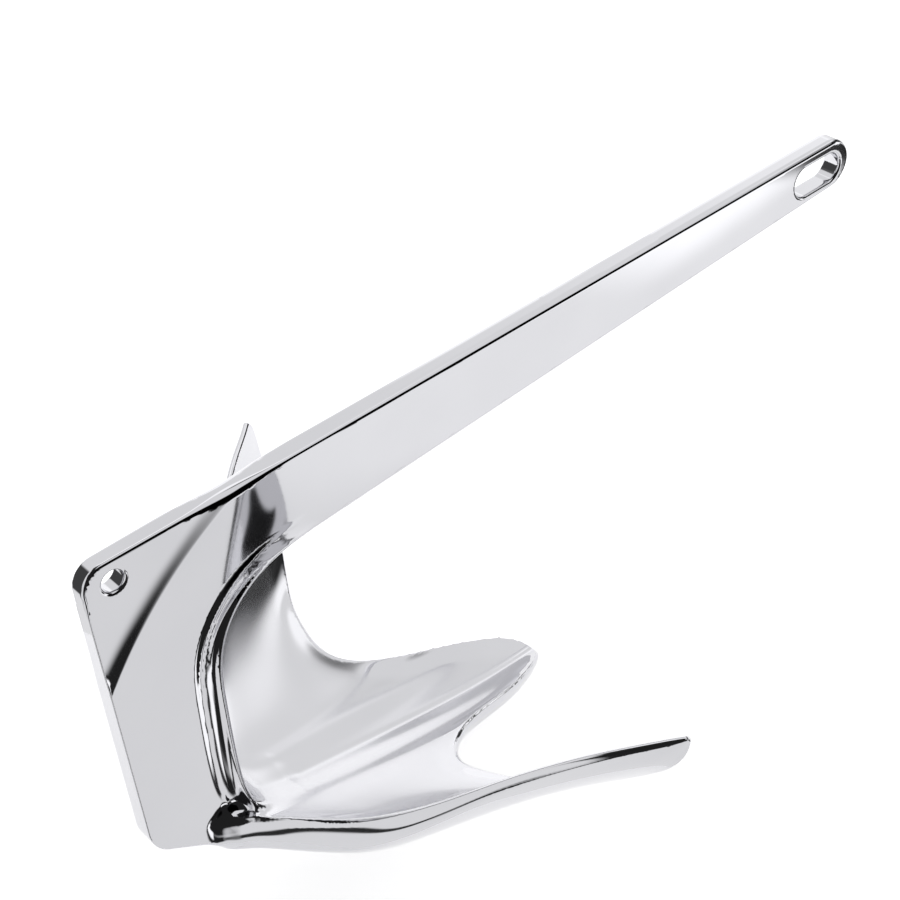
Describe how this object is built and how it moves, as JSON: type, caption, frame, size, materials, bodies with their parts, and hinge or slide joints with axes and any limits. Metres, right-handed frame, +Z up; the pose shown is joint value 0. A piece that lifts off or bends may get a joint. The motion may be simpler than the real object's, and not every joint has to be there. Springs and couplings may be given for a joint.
{
  "type": "claw anchor",
  "caption": "Polished stainless claw anchor: flat shank with a cable slot, curved web and a scoop-shaped fluke with pointed side arms, cast as one piece.",
  "frame": {"origin": "bottom centre of the bounding box, on the floor the anchor rests on", "axes": "+X along the shank from the crown to the cable slot, +Z up with the anchor at rest on the belly of one side fluke, +Y towards that lower side fluke"},
  "size_m": [0.4652, 0.287, 0.2038],
  "materials": {
    "polished_steel": "polished"
  },
  "bodies": {
    "root": {"anchor_body": "polished_steel"}
  },
  "joints": []
}
